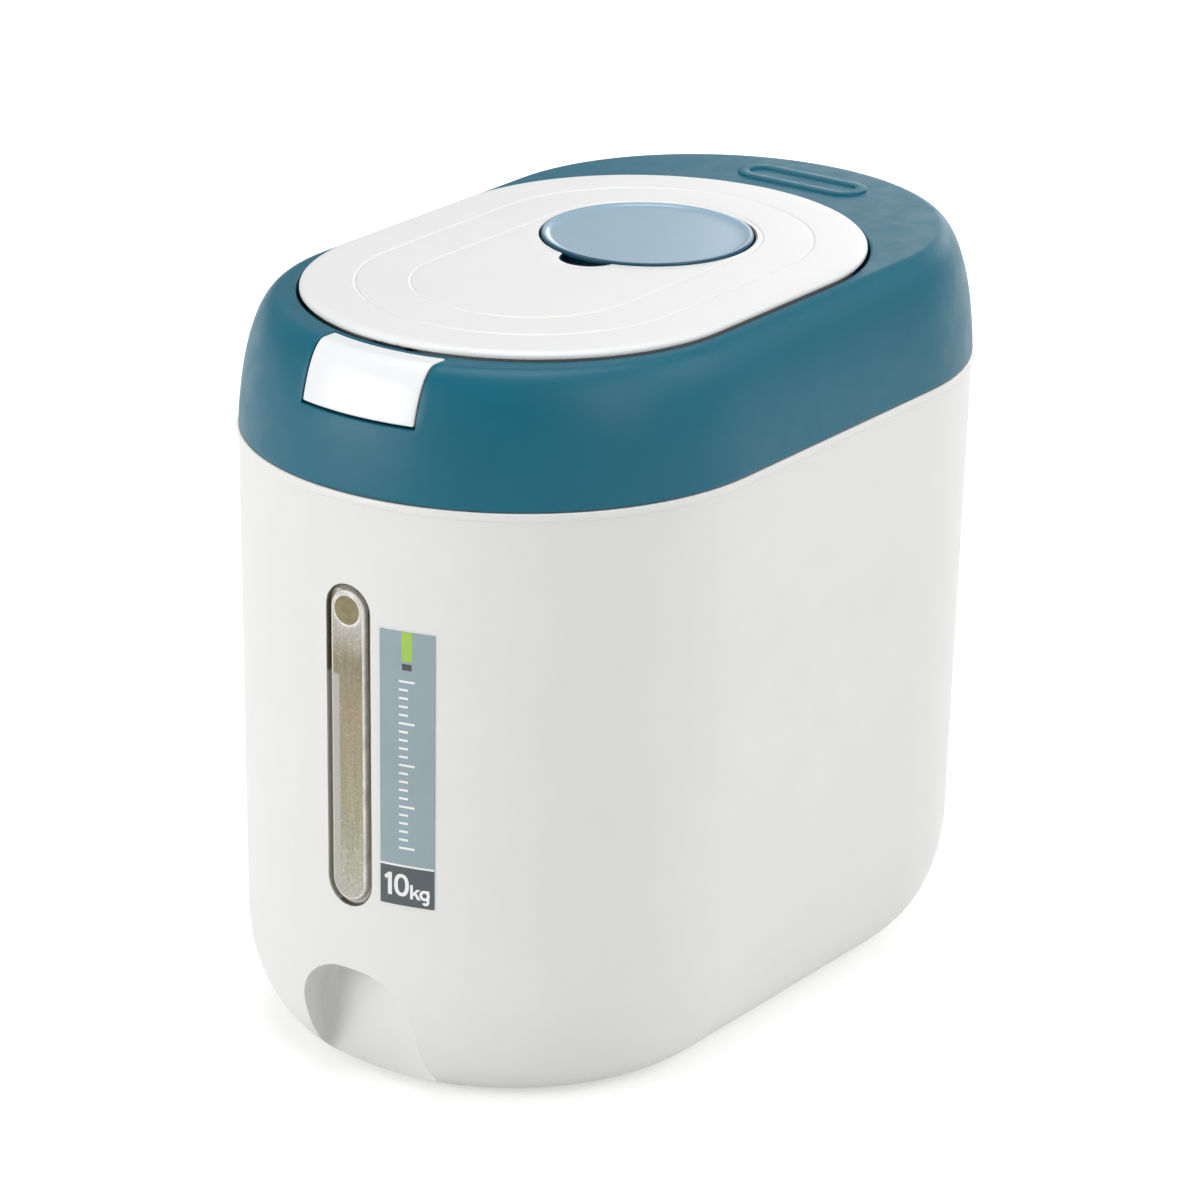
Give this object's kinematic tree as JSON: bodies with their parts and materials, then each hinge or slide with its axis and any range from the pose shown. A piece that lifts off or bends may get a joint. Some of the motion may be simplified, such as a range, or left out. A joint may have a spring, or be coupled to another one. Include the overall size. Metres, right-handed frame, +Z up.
{
  "type": "rice bin",
  "caption": "Racetrack-shaped upright grain bin with window, raised collar, push-button sprung flip lid and a lift-off round cap over a moisture absorber basket.",
  "frame": {"origin": "centre of the footprint, on the surface that the feet stand on", "axes": "+Z up; -Y towards the end with the push button, window and label; the long side runs along Y and the width along X"},
  "size_m": [0.2162, 0.3482, 0.3052],
  "materials": {
    "white_shell": "moulded, satin gloss",
    "white_inner": "moulded, satin",
    "teal_shell": "moulded, fine matt grain",
    "blue_cap": "moulded, satin gloss",
    "white_button": "moulded, high gloss",
    "clear_lens": "clear moulded plastic",
    "label_film": "printed film",
    "silicone": "soft, matt",
    "dark_rubber": "soft, matt",
    "steel": "zinc plated",
    "spring_steel": "drawn wire",
    "paper_pack": "non-woven paper"
  },
  "bodies": {
    "bin": {"bin_body": "white_shell", "window_lens": "clear_lens", "window_gasket": "dark_rubber", "capacity_label": "label_film", "foot_pads": "dark_rubber", "collar": "teal_shell", "collar_gasket": "silicone", "hinge_cover": "teal_shell", "cover_screws": "steel", "hinge_pin": "steel", "pin_clips": "steel", "hinge_spring": "spring_steel", "button_pin": "steel", "button_spring": "spring_steel"},
    "lid": {"lid_panel": "white_shell", "lid_liner": "white_inner", "lid_seal": "silicone", "latch_hook": "white_inner", "hinge_bushes": "white_inner", "lid_screws": "steel", "desiccant_basket": "white_inner", "desiccant_pack": "paper_pack"},
    "button": {"push_button": "white_button"},
    "cap": {"round_cap": "blue_cap", "cap_seal": "silicone"}
  },
  "joints": [
    {"name": "lid_hinge", "type": "hinge", "parent": "bin", "child": "lid", "pos_m": [0, 0.1164, 0.2932], "axis": [-1, 0, 0], "range_deg": [0, 80], "deforming": ["hinge_spring"]},
    {"name": "button_press", "type": "hinge", "parent": "bin", "child": "button", "pos_m": [0, -0.1559, 0.2962], "axis": [1, 0, 0], "range_deg": [0, 4], "stiffness_Nm_per_rad": 0.6, "springref_deg": -1.72, "deforming": ["button_spring"]},
    {"name": "cap_lift", "type": "slide", "parent": "lid", "child": "cap", "axis": [0, 0, 1], "range_m": [0, 0.045]}
  ]
}
